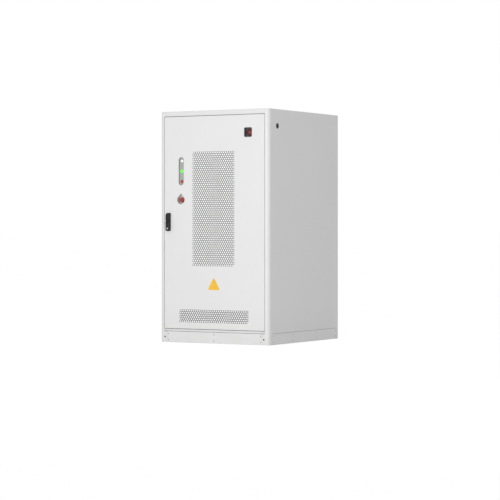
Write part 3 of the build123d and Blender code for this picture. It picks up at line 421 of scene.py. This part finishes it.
black_plastic = moulded("black_plastic", (0.022, 0.022, 0.023), 0.42)
surround_plastic = moulded("alarm_surround", (0.115, 0.112, 0.112), 0.50)
plug_plastic = moulded("plug_plastic", (0.020, 0.020, 0.021), 0.50, shine=0.3)
dark_plastic = moulded("dark_plastic", (0.060, 0.062, 0.066), 0.50)
orange_plastic = moulded("orange_insulation", (0.85, 0.20, 0.015), 0.38)
yellow_plastic = moulded("yellow_collar", (0.78, 0.52, 0.02), 0.35)
gasket_foam = moulded("gasket_foam", (0.020, 0.020, 0.021), 0.92, 420.0, 0.0004)
filter_felt = painted_glow_fibre_felt("filter_felt", (0.95, 0.95, 0.955))
amber_vinyl = moulded("amber_plate", (0.95, 0.55, 0.035), 0.38, 300.0, 0.00002)
print("plastics", black_plastic.name, filter_felt.name)

# %% [markdown]
# ### Lenses
#
# A signal lens is coloured plastic with moulded rings that spread the light. The rings follow
# the distance from the lens's own middle, so each lens gets its own finish, centred by a
# Vector Math node. The lit lamp glows most at its middle.

# %% Make the lens finish


def ringed_lens(name, colour, node, ring, lit=0.0, roughness=0.22, coat=0.3):
    """Clear coloured plastic with rings around the middle of a node's front."""
    low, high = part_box(node)
    middle = (low + high) / 2
    f = Finish(name)
    away = f.node("ShaderNodeVectorMath", {"operation": "SUBTRACT"}, {0: f.place, 1: middle})
    parts = f.node("ShaderNodeSeparateXYZ", None, {"Vector": away})
    across, up = parts, parts.other("Z")
    distance = f.math("SQRT", across * across + up * up)
    rings = f.math("SINE", distance * (2 * pi / ring)) * 0.5 + 0.5
    rim = f.clamp(distance / ((high.x - low.x) / 2))
    shade = f.mix(rim * rim, colour, tuple(c * 0.7 for c in colour))
    inputs = dict(Base_Color=shade, Roughness=roughness, Coat_Weight=coat, Normal=f.bump(rings, 0.00015))
    if lit:
        inputs.update(Emission_Color=f.mix(rim, colour, tuple(c * 0.3 for c in colour)), Emission_Strength=lit)
    return f.close(**inputs)


white_lens = ringed_lens("white_lens", (0.86, 0.86, 0.87), "pilot_lamp_white", 0.0024, lit=0.5)
green_lens = ringed_lens("green_lens", (0.05, 0.90, 0.01), "pilot_lamp_green", 0.0024, lit=3.0)
red_lens = ringed_lens("red_lens", (0.36, 0.004, 0.004), "pilot_lamp_red", 0.0024, lit=0.6)
alarm_lens = ringed_lens("alarm_lens", (0.19, 0.026, 0.028), "alarm_dome", 0.0050, roughness=0.42, coat=0.0)
button_red = moulded("button_red", (0.36, 0.022, 0.024), 0.34, 500.0, 0.00001)
print("lenses", white_lens.name, green_lens.name, red_lens.name, alarm_lens.name)

# %% [markdown]
# ## Smooth copies of the curved solids
#
# A CAD node is a set of loose triangles. A copy whose corners are merged can be shaded
# smoothly over its bends and sharply at its edges, and a Weighted Normal modifier keeps the
# large flat faces flat. The copy stands for the node; its shape is the same.

# %% Pair every node with its finish
finish_of_slot = {
    "body_paint": body_coat, "door_paint": door_coat, "galvanised": zinc,
    "screw_steel": screw_steel, "pin_steel": pin_steel, "module_case": case_aluminium,
    "link_orange": orange_plastic, "control_paint": control_coat,
    "black_plastic": black_plastic, "dark_plastic": dark_plastic,
    "gasket_rubber": gasket_foam, "filter_fabric": filter_felt, "tray_paint": tray_painted_shade_glow_coat,
    "lens_white": white_lens, "lens_green": green_lens, "lens_red": red_lens,
    "button_red": button_red, "alarm_red": alarm_lens, "lock_black": lock_coat,
    "key_steel": key_chrome, "fan_black": black_plastic, "collar_yellow": yellow_plastic,
}
finish_of = {node: finish_of_slot[slot] for node, slot in slot_of.items()}
finish_of["lock_pinion"] = gear_steel
finish_of["plinth_frame"] = plinth_coat
finish_of["alarm_tray"] = surround_plastic
finish_of["side_plug"] = plug_plastic
finish_of["stop_tray"] = stop_painted_light_coat
finish_of["door_frame"] = landing_coat
finish_of["plinth_cover_front"] = cover_coat
for side in ("rear", "left", "right"):
    finish_of["plinth_cover_" + side] = side_cover_coat
for node, piece in frame["nodes"].items():
    piece.data.materials.clear()
    piece.data.materials.append(finish_of[node])
print("finishes on", len(finish_of), "nodes")

# %% Copy the curved nodes
SHARP = radians(28)


def as_piece(name, mesh, node, finish):
    """Put a finished mesh in the scene, riding with a node's body, with the finish given."""
    piece = bpy.data.objects.new(name, mesh)
    scene.collection.objects.link(piece)
    mesh.materials.clear()
    mesh.materials.append(finish)
    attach(piece, body_of[node])
    return piece


def shade(mesh, limit=SHARP):
    """Smooth faces, with sharp edges where two faces meet at more than the limit."""
    form = bmesh.new()
    form.from_mesh(mesh)
    for face in form.faces:
        face.smooth = True
    for edge in form.edges:
        edge.smooth = len(edge.link_faces) == 2 and edge.calc_face_angle() < limit
    form.to_mesh(mesh)
    form.free()


def smooth_copy(node):
    """A merged copy of a CAD node with smooth bends."""
    form = bmesh.new()
    form.from_mesh(frame["nodes"][node].data)
    bmesh.ops.remove_doubles(form, verts=form.verts, dist=1e-6)
    form.verts.index_update()
    points = [vertex.co.copy() for vertex in form.verts]
    faces = [[vertex.index for vertex in face.verts] for face in form.faces]
    form.free()
    mesh = bpy.data.meshes.new(node + "_finish")
    mesh.from_pydata(points, [], faces)
    shade(mesh)
    piece = as_piece(node + "_finish", mesh, node, finish_of[node])
    flat = piece.modifiers.new("keep_flats_flat", "WEIGHTED_NORMAL")
    flat.keep_sharp = True
    flat.weight = 100
    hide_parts(node)
    return piece


curved = [
    "side_panel_left", "side_panel_right", "side_plug", "roof", "door_skin", "lamp_tray", "stop_tray",
    "alarm_tray", "stop_collar", "handle_plate", "lever", "lever_head", "key_barrel", "isolator_knob",
    "hinge_arms", "hinge_leaves", "hinge_pins", "cooler_housing", "fan_lower", "fan_upper", "stop_stem",
    "lock_case", "gland_plate",
]
for node in curved:
    smooth_copy(node)
print("smooth copies", len(curved))

# %% [markdown]
# ## Perforated fields
#
# The door breathes through two fields of round holes, punched through flush plates in
# staggered rows. The webs between the holes are grey, and a pale mat shows through them. One cell of the pattern is a rectangle with a round hole; neighbouring rows
# shift by half a cell, and a plain half cell closes each row. Geometry Nodes lay the cells,
# weld them, stretch the outermost edges to the field's border and give the sheet its
# thickness, so the result is one closed plate.

# %% Write the geometry helper


class Grower(Graph):
    """A Geometry Nodes tree with named sizes, turned into a plain mesh."""

    def __init__(self, name, points=False):
        super().__init__(bpy.data.node_groups.new(name, "GeometryNodeTree"))
        self.sizes = []
        face = self.tree.interface
        face.new_socket(name="Geometry", in_out="OUTPUT", socket_type="NodeSocketGeometry")
        if points:
            face.new_socket(name="Points", in_out="INPUT", socket_type="NodeSocketGeometry")
        self.entry = self.tree.nodes.new("NodeGroupInput")

    def size(self, name, value, kind="NodeSocketFloat"):
        """A named input and its value."""
        item = self.tree.interface.new_socket(name=name, in_out="INPUT", socket_type=kind)
        self.sizes.append((item.identifier, value))
        return Wire(self, self.entry.outputs[name])

    def set_position(self, geometry, position, selection=True):
        """Move the selected points to new places."""
        inputs = {"Geometry": geometry, "Selection": selection, "Position": position}
        return self.node("GeometryNodeSetPosition", None, inputs)

    def join(self, *parts):
        """Several geometries as one."""
        return self.node("GeometryNodeJoinGeometry", None, {"Geometry": list(parts)})

    def end(self, geometry, finish):
        """Realize the instances, set the finish and hand the geometry out."""
        real = self.node("GeometryNodeRealizeInstances", None, {"Geometry": geometry})
        painted = self.node("GeometryNodeSetMaterial", None, {"Geometry": real, "Material": finish})
        self.node("NodeGroupOutput", None, {"Geometry": painted})

    def grow(self, name, places=()):
        """Evaluate the tree on places, each a point and the way it faces, as a plain mesh."""
        seed = bpy.data.meshes.new(name + "_places")
        seed.from_pydata([place for place, _ in places], [], [])
        facing = seed.attributes.new("facing", "FLOAT_VECTOR", "POINT")
        for value, (_, way) in zip(facing.data, places):
            value.vector = way
        carrier = bpy.data.objects.new(name + "_places", seed)
        scene.collection.objects.link(carrier)
        modifier = carrier.modifiers.new("grow", "NODES")
        modifier.node_group = self.tree
        for identifier, value in self.sizes:
            modifier[identifier] = value
        ready = carrier.evaluated_get(bpy.context.evaluated_depsgraph_get())
        mesh = bpy.data.meshes.new_from_object(ready)
        mesh.name = name
        carrier.modifiers.remove(modifier)
        bpy.data.objects.remove(carrier)
        print(name, "has", len(mesh.polygons), "faces")
        return mesh


# %% Write the perforated sheet's tree
CELL_POINTS = 12
WELD = 1e-5


def perforated_sheet(name, node, columns, rows, web):
    """A sheet the size of a node, with staggered rows of round holes."""
    low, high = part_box(node)
    finish = vent_coat(name + "_coat", node, columns, rows, web)
    g = Grower(name)
    cell = g.size("Hole Pitch", PITCH)
    step = g.size("Row Step", ROW_STEP)
    radius = g.size("Hole Radius", HOLE_RADIUS)
    in_row = g.size("Holes In A Row", columns, "NodeSocketInt")
    row_count = g.size("Rows", rows, "NodeSocketInt")
    wide = g.size("Sheet Width", high.x - low.x)
    tall = g.size("Sheet Height", high.z - low.z)
    thick = g.size("Sheet Thickness", high.y - low.y)
    centre = g.size("Sheet Centre", ((low.x + high.x) / 2, low.y, (low.z + high.z) / 2), "NodeSocketVector")

    # One cell: twelve points round a rectangle, and the same twelve round the hole
    index = g.node("GeometryNodeInputIndex")
    turn = index * (2 * pi / CELL_POINTS)
    side = g.math("MINIMUM", g.math("MAXIMUM", g.math("ABSOLUTE", index - 6) - 3, -2), 2)
    level = g.math("MINIMUM", g.math("MAXIMUM", g.math("SINE", turn) * 3, -1), 1)
    disc = g.node("GeometryNodeMeshCircle", {"fill_type": "NGON"}, {"Vertices": CELL_POINTS})
    hold = g.tree.nodes.new("GeometryNodeCaptureAttribute")
    hold.capture_items.new("FLOAT", "Turn")
    g.tree.links.new(disc.socket, hold.inputs["Geometry"])
    g.tree.links.new(turn.socket, hold.inputs["Turn"])
    disc, angle = Wire(g, hold.outputs["Geometry"]), Wire(g, hold.outputs["Turn"])
    frame_of_cell = g.set_position(disc, g.combine(side * cell / 4, 0.0, level * step / 2))
    ring = g.node("GeometryNodeExtrudeMesh", {"mode": "FACES"},
                  {"Mesh": frame_of_cell, "Offset Scale": 0.0, "Individual": False})
    edge = g.combine(g.math("COSINE", angle) * radius, 0.0, g.math("SINE", angle) * radius)
    punched = g.set_position(ring, edge, ring.other("Top"))
    punched = g.node("GeometryNodeDeleteGeometry", {"domain": "FACE", "mode": "ONLY_FACE"},
                     {"Geometry": punched, "Selection": ring.other("Top")})

    # Rows of cells, every second one shifted, and the half cells that close them
    place = g.node("ShaderNodeSeparateXYZ", None, {"Vector": g.node("GeometryNodeInputPosition")})
    x, y, z = place, place.other("Y"), place.other("Z")
    span = (row_count - 1) * step
    grid = g.node("GeometryNodeMeshGrid", None, {
        "Size X": (in_row - 1) * cell, "Size Y": span, "Vertices X": in_row, "Vertices Y": row_count})
    odd = g.math("MODULO", g.math("ROUND", (y + span / 2) / step), 2)
    grid = g.set_position(grid, g.combine(x + (odd - 0.5) * cell / 2, 0.0, y))
    cells = g.node("GeometryNodeInstanceOnPoints", None, {"Points": grid, "Instance": punched})
    half = g.node("GeometryNodeMeshGrid", None, {
        "Size X": cell / 2, "Size Y": step, "Vertices X": 3, "Vertices Y": 3})
    half = g.set_position(half, g.combine(x, 0.0, y))
    line = g.node("GeometryNodeMeshLine", None, {
        "Count": row_count, "Start Location": g.combine(0.0, 0.0, span / -2), "Offset": g.combine(0.0, 0.0, step)})
    odd = g.math("MODULO", g.math("ROUND", (z + span / 2) / step), 2)
    line = g.set_position(line, g.combine((0.5 - odd) * in_row * cell, 0.0, z))
    halves = g.node("GeometryNodeInstanceOnPoints", None, {"Points": line, "Instance": half})
    field = g.node("GeometryNodeRealizeInstances", None, {"Geometry": g.join(cells, halves)})
    field = g.node("GeometryNodeMergeByDistance", None, {"Geometry": field, "Distance": WELD})

    # Stretch the outermost points to the border, then give the sheet its thickness
    across = g.math("GREATER_THAN", g.math("ABSOLUTE", x), (in_row + 0.48) * cell / 2)
    along = g.math("GREATER_THAN", g.math("ABSOLUTE", z), (row_count - 0.02) * step / 2)
    to_x = x + across * (g.math("SIGN", x) * wide / 2 - x)
    to_z = z + along * (g.math("SIGN", z) * tall / 2 - z)
    flat = g.set_position(field, g.combine(to_x, thick, to_z))
    front = g.node("GeometryNodeExtrudeMesh", {"mode": "FACES"},
                   {"Mesh": flat, "Offset Scale": thick, "Individual": False})
    back = g.node("GeometryNodeFlipFaces", None, {"Mesh": flat})
    sheet = g.node("GeometryNodeMergeByDistance", None, {"Geometry": g.join(front, back), "Distance": WELD})
    sheet = g.node("GeometryNodeSetPosition", None, {"Geometry": sheet, "Offset": centre})
    g.end(sheet, finish)
    piece = as_piece(name, g.grow(name), node, finish)
    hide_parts(node)
    return piece


# %% Punch the two fields
perforated_sheet("tall_perforation", "tall_grille", 20, 54, 0.288)
perforated_sheet("low_perforation", "low_grille", 33, 6, 0.235)

# %% [markdown]
# ## Screws, bolts and handles
#
# Small fasteners repeat, so each kind is one tree whose head is placed on points. A point
# carries the way it faces as an attribute, and the head's axis turns to it.

# %% Write the fastener tree


def fastener_tree(name, head_radius, top_radius, height, socket_radius, finish, sides=16):
    """Screw heads with a hexagon socket, one on each point."""
    g = Grower(name, points=True)
    radius = g.size("Head Radius", head_radius)
    top = g.size("Top Radius", top_radius)
    tall = g.size("Head Height", height)
    key = g.size("Socket Radius", socket_radius)
    head = g.node("GeometryNodeMeshCone", {"fill_type": "NGON"}, {
        "Vertices": sides, "Radius Top": top, "Radius Bottom": radius, "Depth": tall})
    hexagon = g.node("GeometryNodeMeshCylinder", {"fill_type": "NGON"}, {
        "Vertices": 6, "Radius": key, "Depth": tall})
    raised = g.node("GeometryNodeTransform", None, {
        "Geometry": hexagon, "Translation": g.combine(0.0, 0.0, tall * 0.95)})
    cut = g.node("GeometryNodeMeshBoolean", {"operation": "DIFFERENCE"}, {"Mesh 1": head, "Mesh 2": raised})
    way = g.node("GeometryNodeInputNamedAttribute", {"data_type": "FLOAT_VECTOR"}, {"Name": "facing"})
    turned = g.node("FunctionNodeAlignRotationToVector", {"axis": "Z"}, {"Vector": way})
    points = Wire(g, g.entry.outputs["Points"])
    heads = g.node("GeometryNodeInstanceOnPoints", None, {"Points": points, "Instance": cut, "Rotation": turned})
    g.end(heads, finish)
    return g


# %% Screw the plinth covers down
END_INSET, ROW_INSET = 0.009, 0.02025
places = []
for node, middle_columns, way in (
    ("plinth_cover_front", (0.5,), (0, -1, 0)), ("plinth_cover_rear", (0.5,), (0, 1, 0)),
    ("plinth_cover_left", (0.31, 0.69), (-1, 0, 0)), ("plinth_cover_right", (0.31, 0.69), (1, 0, 0)),
):
    low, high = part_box(node)
    along = 0 if way[1] else 1
    outside = [high[i] if way[i] > 0 else low[i] for i in range(3)]
    length = high[along] - low[along]
    columns = [low[along] + END_INSET, high[along] - END_INSET]
    columns += [low[along] + share * length for share in middle_columns]
    for column in columns:
        for level in (low.z + ROW_INSET, high.z - ROW_INSET):
            point = list(outside)
            point[along], point[2] = column, level
            places.append((tuple(point), way))
cover_screws = fastener_tree("cover_screws", 0.0055, 0.0047, 0.0014, 0.0024, screw_steel)
screws = as_piece("cover_screws", cover_screws.grow("cover_screws", places), "plinth_screws", screw_steel)
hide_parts("plinth_screws")

# %% Plug the leg holes
HOLE_X, HOLE_Z, SUNK = 0.495, 0.047, 0.0012
pad_front, pad_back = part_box("plinth_frame")[0].y + SUNK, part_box("plinth_frame")[1].y - SUNK
places = [((side * HOLE_X, y, HOLE_Z), (0, way, 0)) for side in (-1, 1) for y, way in ((pad_front, -1), (pad_back, 1))]
leg_plugs = fastener_tree("leg_plugs", 0.0076, 0.0072, 0.0016, 0.0030, plug_plastic, 20)
as_piece("leg_plugs", leg_plugs.grow("leg_plugs", places), "plinth_frame", plug_plastic)

# %% Fix the hinges
leaf_low, leaf_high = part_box("hinge_leaves")
arm_low, arm_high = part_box("hinge_arms")
HINGE_SPACING = 0.72675
ARM_SCREWS = 0.013
levels = [(arm_low.z + arm_high.z) / 2 + step * HINGE_SPACING for step in (-1, 0, 1)]
foot_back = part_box("door_skin")[1].y + 0.004
places = [((arm_low.x + 0.012, foot_back, z + offset), (0, 1, 0)) for z in levels for offset in (-ARM_SCREWS, ARM_SCREWS)]
arm_screws = fastener_tree("arm_screws", 0.0042, 0.0034, 0.0024, 0.0018, pin_steel)
as_piece("arm_screws", arm_screws.grow("arm_screws", places), "hinge_arms", pin_steel)

# %% Bolt the module links
TERMINAL_X, TERMINAL_DROP = 0.060, 0.060
link_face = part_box("module_links")[0].y
places = []
for column in (0, 4):
    for number in range(1, 5):
        low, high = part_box(f"battery_module_{column + number}")
        middle = (low.x + high.x) / 2
        for side in (1,) if number in (1, 4) else (-1, 1):
            places.append(((middle + side * TERMINAL_X, link_face, high.z - TERMINAL_DROP), (0, -1, 0)))
link_bolts = fastener_tree("link_bolts", 0.0085, 0.0075, 0.0040, 0.0035, pin_steel)
as_piece("link_bolts", link_bolts.grow("link_bolts", places), "module_links", pin_steel)

# %% [markdown]
# The modules slide in and out by two bow handles each. A bow is a short Bezier curve with a
# round section, standing on two small feet.

# %% Hang the module handles


def bow_handles(name, height, reach, bar, places, finish):
    """Bow handles that stand out towards -Y from each point."""
    g = Grower(name, points=True)
    tall = g.size("Handle Height", height)
    out = g.size("Handle Reach", reach)
    thick = g.size("Bar Radius", bar)
    foot, head = tall / -2, tall / 2
    bow = g.node("GeometryNodeCurvePrimitiveBezierSegment", None, {
        "Resolution": 14, "Start": g.combine(0.0, 0.0, foot), "Start Handle": g.combine(0.0, out * -1.35, foot),
        "End Handle": g.combine(0.0, out * -1.35, head), "End": g.combine(0.0, 0.0, head)})
    section = g.node("GeometryNodeCurvePrimitiveCircle", None, {"Resolution": 10, "Radius": thick})
    bar_mesh = g.node("GeometryNodeCurveToMesh", None, {"Curve": bow, "Profile Curve": section, "Fill Caps": True})
    disc = g.node("GeometryNodeMeshCylinder", {"fill_type": "NGON"}, {
        "Vertices": 14, "Radius": thick * 2, "Depth": thick})
    feet = [g.node("GeometryNodeTransform", None, {
        "Geometry": disc, "Translation": g.combine(0.0, thick * -0.5, level), "Rotation": (pi / 2, 0, 0)})
        for level in (foot, head)]
    whole = g.join(bar_mesh, *feet)
    points = Wire(g, g.entry.outputs["Points"])
    g.end(g.node("GeometryNodeInstanceOnPoints", None, {"Points": points, "Instance": whole}), finish)
    return g.grow(name, places)


HANDLE_X = 0.185
places = []
for number in range(1, 9):
    low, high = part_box(f"battery_module_{number}")
    bezel = low.y + 0.016
    for side in (-1, 1):
        places.append((((low.x + high.x) / 2 + side * HANDLE_X, bezel, (low.z + high.z) / 2), (0, -1, 0)))
handles = as_piece("module_handles", bow_handles("module_handles", 0.115, 0.032, 0.0045, places, black_plastic),
                   "battery_module_1", black_plastic)
shade(handles.data)

# %% [markdown]
# ## Turned pieces
#
# Lamp lenses, the mushroom button and the alarm's dome are bodies of revolution. Each is a
# profile of radius and depth, spun round the piece's own axis, which points along Y. The
# poles are single points, so the skin is closed.

# %% Turn a profile


def turned(name, node, profile, finish, slot=None, segments=56, limit=SHARP):
    """Spin (radius, depth) points round the middle of a node; depth runs from its front."""
    low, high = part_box(node)
    x, z, front = (low.x + high.x) / 2, (low.z + high.z) / 2, low.y
    points = [(x, front + profile[0][1], z)]
    faces = []
    rings = profile[1:-1]
    for radius, depth in rings:
        for k in range(segments):
            turn = 2 * pi * k / segments
            points.append((x + radius * cos(turn), front + depth, z + radius * sin(turn)))
    points.append((x, front + profile[-1][1], z))
    last = len(points) - 1
    for k in range(segments):
        after = (k + 1) % segments
        faces.append((0, 1 + k, 1 + after))
        for ring in range(len(rings) - 1):
            a, b = 1 + ring * segments, 1 + (ring + 1) * segments
            faces.append((a + k, b + k, b + after, a + after))
        tail = 1 + (len(rings) - 1) * segments
        faces.append((tail + after, tail + k, last))
    mesh = bpy.data.meshes.new(name)
    mesh.from_pydata(points, [], faces)
    form = bmesh.new()
    form.from_mesh(mesh)
    bmesh.ops.recalc_face_normals(form, faces=form.faces)
    form.to_mesh(mesh)
    form.free()
    shade(mesh, limit)
    piece = as_piece(name, mesh, node, finish)
    print(name, "turned with", len(mesh.polygons), "faces")
    return piece


# %% Turn the pilot lamps
MM = 0.001
ring_profile = [
    (0, 4.9), (13.6, 4.9), (14.1, 4.6), (14.6, 4.6), (15, 5.0), (15, 6.7), (11, 6.7), (11, 40.7), (0, 40.7)]
lens_profile = [
    (0, 0), (3.2, 0.12), (6.3, 0.5), (9.2, 1.2), (11.5, 2.2), (13.1, 3.4), (13.8, 4.4), (13.9, 5.1), (13.9, 5.6),
    (0, 5.6)]
for colour, finish in (("white", white_lens), ("green", green_lens), ("red", red_lens)):
    node = f"pilot_lamp_{colour}"
    ring = turned(f"lamp_ring_{colour}", node, [(r * MM, d * MM) for r, d in ring_profile], tray_painted_shade_glow_coat, "tray_paint")
    dome = turned(f"lamp_lens_{colour}", node, [(r * MM, d * MM) for r, d in lens_profile], finish)
    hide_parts(node)
    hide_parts(node)

# %% Turn the mushroom button and the alarm's dome
button_profile = [
    (0, 0), (5, 0.15), (9.5, 0.6), (13.5, 1.5), (17, 3.0), (19.6, 5.2), (20.9, 7.8), (21, 9.6), (20.2, 11.6),
    (18.4, 13.2), (15.6, 14.4), (13, 14.9), (0, 15)]
button = turned("stop_mushroom", "stop_button", [(r * MM, d * MM) for r, d in button_profile], button_red)
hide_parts("stop_button")
dome_profile = [
    (0, 10), (6.5, 10.2), (12.5, 10.9), (18, 12.2), (22.6, 14.2), (26.2, 16.9), (28.7, 20.0), (29.8, 22.5),
    (30, 24), (22, 24), (22, 54), (0, 54)]
alarm = turned("alarm_lens_dome", "alarm_dome", [(r * MM, d * MM) for r, d in dome_profile], alarm_lens)
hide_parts("alarm_dome")

# %% [markdown]
# ## The triangle plate
#
# A thin plate in the shape of a triangle with round corners is fixed low on the door. It is
# left bare. Its outline is three arcs joined by straight sides, and its front edge is
# slightly rounded by a bevel.

# %% Make the triangle plate
PLATE_MIDDLE, PLATE_BASE, PLATE_TOP = 0.001, 0.459, 0.567
PLATE_THICKNESS, PLATE_CORNER, ARC_STEPS = 0.0010, 0.010, 8
door_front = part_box("door_skin")[0].y
side_length = (PLATE_TOP - PLATE_BASE) * 2 / sqrt(3)
inner = side_length / 2 - PLATE_CORNER * sqrt(3)
outline = []
inner_base = PLATE_BASE + PLATE_CORNER
for (x, z), start in (
    ((inner, inner_base), -90), ((0, inner_base + inner * sqrt(3)), 30), ((-inner, inner_base), 150),
):
    for step in range(ARC_STEPS + 1):
        turn = radians(start + 120 * step / ARC_STEPS)
        outline.append((PLATE_MIDDLE + x + PLATE_CORNER * cos(turn), z + PLATE_CORNER * sin(turn)))
count = len(outline)
points = [(x, door_front - PLATE_THICKNESS, z) for x, z in outline] + [(x, door_front, z) for x, z in outline]
faces = [tuple(range(count)), tuple(range(2 * count - 1, count - 1, -1))]
faces += [(k, count + k, count + (k + 1) % count, (k + 1) % count) for k in range(count)]
plate_mesh = bpy.data.meshes.new("triangle_plate")
plate_mesh.from_pydata(points, [], faces)
form = bmesh.new()
form.from_mesh(plate_mesh)
bmesh.ops.recalc_face_normals(form, faces=form.faces)
form.to_mesh(plate_mesh)
form.free()
triangle = as_piece("triangle_plate", plate_mesh, "door_skin", amber_vinyl)
soft_edge = triangle.modifiers.new("soft_edge", "BEVEL")
soft_edge.width, soft_edge.segments, soft_edge.limit_method = 0.0003, 2, "ANGLE"
print("triangle plate", count, "points round")
